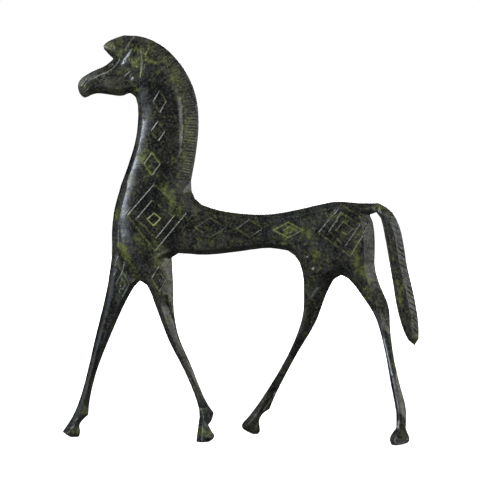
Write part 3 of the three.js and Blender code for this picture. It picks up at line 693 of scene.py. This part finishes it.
class Nodes:
    """A short way to write a material's nodes."""

    def __init__(self, material):
        material.use_nodes = True
        self.tree = material.node_tree
        self.shader = self.tree.nodes["Principled BSDF"]

    def add(self, kind, inputs=None, **settings):
        node = self.tree.nodes.new(kind)
        for name, value in settings.items():
            setattr(node, name, value)
        for name, value in (inputs or {}).items():
            self.feed(node.inputs[name], value)
        return node

    def feed(self, socket, value):
        if isinstance(value, bpy.types.NodeSocket):
            self.tree.links.new(value, socket)
        else:
            socket.default_value = value

    def value(self, name):
        """What mark_surface keeps under a name."""
        return self.add("ShaderNodeAttribute", attribute_name=name).outputs["Fac"]

    def noise(self, scale, detail, roughness):
        node = self.add("ShaderNodeTexNoise", {"Vector": self.place, "Scale": scale, "Detail": detail,
                                               "Roughness": roughness})
        return node.outputs["Fac"]

    def ramp(self, value, low, high, to_low=0.0, to_high=1.0):
        """Goes smoothly from to_low to to_high as the value goes from low to high."""
        node = self.add("ShaderNodeMapRange", {"Value": value, "From Min": low, "From Max": high,
                                               "To Min": to_low, "To Max": to_high})
        node.interpolation_type = "SMOOTHSTEP"
        return node.outputs["Result"]

    def math(self, operation, one, other):
        node = self.add("ShaderNodeMath", operation=operation)
        self.feed(node.inputs[0], one)
        self.feed(node.inputs[1], other)
        return node.outputs[0]

    def total(self, one, other):
        return self.math("ADD", one, other)

    def product(self, one, other):
        return self.math("MULTIPLY", one, other)

    def mix(self, share, one, other):
        """One colour with a share of the other over it."""
        node = self.add("ShaderNodeMix", data_type="RGBA")
        self.feed(node.inputs["Factor"], share)
        self.feed(node.inputs["A"], one)
        self.feed(node.inputs["B"], other)
        return node.outputs["Result"]


def colour(text):
    """A hex colour as the linear values that the shader takes."""
    channels = [int(text[i:i + 2], 16) / 255 for i in (0, 2, 4)]
    return [c / 12.92 if c <= 0.04045 else ((c + 0.055) / 1.055) ** 2.4 for c in channels] + [1]


CHARCOAL = colour("09090b")
COOL_GREY = colour("383a3b")
WARM_GREY = colour("44423c")
# pale grey of dust, and of the painted highlight in the strokes that rise to the right
DUST_AND_HIGHLIGHT = colour("96978e")
# pale film colour, partly painted light
FILM_AND_LIGHT = colour("5f5c51")
# bluish grey of the painted highlights and sheen, partly bare metal
STEEL_SHEEN = colour("6a6c71")
MOSS = colour("0f1204")
LICHEN = colour("61672f")
VERDIGRIS = colour("959b54")


# Noises of the patina: scale, detail and roughness
CLOUDS = (95, 5, 0.62)
GRAIN = (780, 4, 0.66)
SPECKS = (1100, 2, 0.55)
TINTS = (40, 2, 0.55)
PATCHES = (300, 5, 0.7)
PITS = (380, 3, 0.6)

# How much of each colour covers what lies under it
SPECK_SHARE = 0.24
FILM_AND_LIGHT_SHARE = 0.7
STEEL_SHEEN_SHARE = 0.75
OLIVE_SHARE = 0.88
BLOOM_SHARE = 0.22  # of verdigris in the green beside the cuts
THICK_SHARE = 0.8  # of verdigris where the green is thickest
CUT_SHADE_SHARE = 0.6
SCRATCH_HIGHLIGHT_SHARE = 0.35

# Values of the bare bronze and of the green, and what specks and the painted highlights add
ROUGHNESS = (0.34, 0.46)
SPECK_ROUGHNESS = 0.08
METALLIC = (0.4, 0.1)
BRIGHT_METALLIC = 0.3
SPECULAR = 0.4
BUMP = {"Strength": 0.35, "Distance": 0.16 * MM}
PIT_DEPTH = 0.7  # of the pits against the grain


def bare_bronze(nodes, blend, grain):
    """Dark bronze with lighter clouds and specks, dulled by a pale film that partly paints light, and with
    painted highlights and sheen, partly rubbed wear, in places.
    """
    standing = nodes.ramp(nodes.value("standing"), -1, 1, -0.04, 0.04)
    light = nodes.ramp(nodes.total(blend, standing), 0.34, 0.74)
    specks = nodes.ramp(nodes.noise(*SPECKS), 0.52, 0.75, 0, SPECK_SHARE)
    grey = nodes.mix(nodes.ramp(nodes.noise(*TINTS), 0.4, 0.6), COOL_GREY, WARM_GREY)
    # a pale film, partly painted light on faces turned to the fill light
    film_and_light = nodes.product(nodes.value("pale_film_and_light"), nodes.ramp(grain, 0.35, 0.6, 0.6, 1))
    # painted highlights and sheen along the crest and the leg ridges, partly wear from handling
    rubbed_and_sheen = nodes.product(nodes.value("polish_and_highlight"), nodes.ramp(blend, 0.3, 0.6, 0.5, 1))
    bright = nodes.ramp(rubbed_and_sheen, 0.05, 0.95, 0, STEEL_SHEEN_SHARE)

    base = nodes.mix(light, CHARCOAL, grey)
    base = nodes.mix(specks, base, DUST_AND_HIGHLIGHT)
    base = nodes.mix(nodes.ramp(film_and_light, 0, 1, 0, FILM_AND_LIGHT_SHARE), base, FILM_AND_LIGHT)
    return nodes.mix(bright, base, STEEL_SHEEN), specks, bright


def green_deposit(nodes, blend, grain):
    """The green: how much of it there is, and its colour, palest where it is thick."""
    green = nodes.value("green")
    deposit = nodes.value("deposit")
    patches = nodes.total(nodes.noise(*PATCHES), nodes.ramp(green, 0, 1, -0.05, 0.16))
    patches = nodes.total(patches, nodes.ramp(deposit, 0, 1, 0, 0.15))
    olive = nodes.ramp(patches, 0.42, 0.7, 0, OLIVE_SHARE)
    beside_cuts = nodes.product(deposit, nodes.ramp(grain, 0.35, 0.6, 0.6, 1))
    bloom = nodes.total(nodes.ramp(beside_cuts, 0.1, 0.8, 0, BLOOM_SHARE),
                        nodes.ramp(green, 1, 1.8, 0, THICK_SHARE))
    mossy = nodes.mix(nodes.ramp(blend, 0.36, 0.7), MOSS, LICHEN)
    return olive, nodes.mix(bloom, mossy, VERDIGRIS)


def patina():
    """Near-black bronze, clouded with grey, olive where the green gathers, with painted highlights and sheen
    along the crest and leg ridges, partly handling wear, and painted shade on the neck, the shoulder, in the
    cuts and beside the leg ridges.
    """
    material = bpy.data.materials.new("patinated_bronze")
    nodes = Nodes(material)
    nodes.place = nodes.add("ShaderNodeTexCoord").outputs["Object"]
    grain = nodes.noise(*GRAIN)
    blend = nodes.total(nodes.ramp(nodes.noise(*CLOUDS), 0.3, 0.7, -0.12, 0.12), grain)
    # painted shade darkens the flats of the neck and shoulder
    blend = nodes.total(blend, nodes.ramp(nodes.value("painted_shade"), 0, 1.5, 0.04, -0.12))

    base, specks, bright = bare_bronze(nodes, blend, grain)
    olive, mossy = green_deposit(nodes, blend, grain)
    base = nodes.mix(olive, base, mossy)
    # painted shade in the fine cuts and beside the ridges of the legs
    base = nodes.mix(nodes.ramp(nodes.value("cut"), 0.3, 0.9, 0, CUT_SHADE_SHARE), base, CHARCOAL)
    # painted highlight, partly pale dust, in the strokes that rise to the right
    base = nodes.mix(nodes.ramp(nodes.value("scratch_highlight"), 0.2, 0.8, 0, SCRATCH_HIGHLIGHT_SHARE), base, DUST_AND_HIGHLIGHT)
    nodes.feed(nodes.shader.inputs["Base Color"], base)

    rough = nodes.total(nodes.ramp(olive, 0, 1, *ROUGHNESS),
                        nodes.ramp(specks, 0, SPECK_SHARE, 0, SPECK_ROUGHNESS))
    nodes.feed(nodes.shader.inputs["Roughness"], rough)
    metallic = nodes.total(nodes.ramp(olive, 0, 1, *METALLIC), nodes.ramp(bright, 0, 1, 0, BRIGHT_METALLIC))
    nodes.feed(nodes.shader.inputs["Metallic"], metallic)
    nodes.shader.inputs["Specular IOR Level"].default_value = SPECULAR

    pits = nodes.total(grain, nodes.product(nodes.noise(*PITS), PIT_DEPTH))
    bump = nodes.add("ShaderNodeBump", {"Height": pits, **BUMP})
    nodes.feed(nodes.shader.inputs["Normal"], bump.outputs["Normal"])
    return material


# Studio

def floor():
    """A white floor under the horse, which throws no light back on it."""
    mesh = bpy.data.meshes.new("floor")
    half = FLOOR_HALF
    corners = [(-half, -half, 0), (half, -half, 0), (half, half, 0), (-half, half, 0)]
    mesh.from_pydata(corners, [], [(0, 1, 2, 3)])
    piece = bpy.data.objects.new("floor", mesh)
    bpy.context.scene.collection.objects.link(piece)
    material = bpy.data.materials.new("pale_floor")
    shader = Nodes(material).shader
    shader.inputs["Base Color"].default_value = FLOOR_WHITE
    shader.inputs["Roughness"].default_value = FLOOR_ROUGHNESS
    shader.inputs["Emission Color"].default_value = (1, 1, 1, 1)
    shader.inputs["Emission Strength"].default_value = FLOOR_GLOW
    mesh.materials.append(material)
    piece.visible_diffuse = False
    piece.visible_glossy = False


def softbox(name, at, size, power, tint):
    """A soft light that points at the horse."""
    light = bpy.data.lights.new(name, "AREA")
    light.shape = "RECTANGLE"
    light.size, light.size_y = size
    light.energy = power
    light.color = tint
    lamp = bpy.data.objects.new(name, light)
    lamp.location = at
    lamp.rotation_euler = (LIT_PLACE - Vector(at)).to_track_quat("-Z", "Y").to_euler()
    bpy.context.scene.collection.objects.link(lamp)


def surroundings():
    """White behind the horse, but dim as a light, so that the softboxes model its form."""
    world = bpy.data.worlds.new("studio")
    world.use_nodes = True
    tree = world.node_tree
    seen = tree.nodes.new("ShaderNodeLightPath").outputs["Is Camera Ray"]
    strength = tree.nodes.new("ShaderNodeMapRange")
    strength.inputs["To Min"].default_value = AMBIENT
    strength.inputs["To Max"].default_value = 1
    tree.links.new(seen, strength.inputs["Value"])
    background = tree.nodes["Background"]
    background.inputs["Color"].default_value = (1, 1, 1, 1)
    tree.links.new(strength.outputs["Result"], background.inputs["Strength"])
    bpy.context.scene.world = world


def studio():
    surroundings()
    floor()
    for settings in SOFTBOXES:
        softbox(*settings)
    bpy.context.scene.view_settings.view_transform = "Standard"


def camera():
    """A camera at the photograph's angle: from the horse's left and a little above."""
    data = bpy.data.cameras.new("camera")
    data.angle = CAMERA_VIEW
    data.clip_end = FAR_CLIP
    eye = bpy.data.objects.new("camera", data)
    back = Vector((0, -math.cos(CAMERA_DOWN), math.sin(CAMERA_DOWN)))
    eye.location = CAMERA_TARGET + CAMERA_DISTANCE * back
    eye.rotation_euler = (-back).to_track_quat("-Z", "Y").to_euler()
    bpy.context.scene.collection.objects.link(eye)
    bpy.context.scene.camera = eye


horse = detailed_horse()
horse.data.materials.append(patina())
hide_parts("horse")
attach(horse, "root")
studio()
camera()
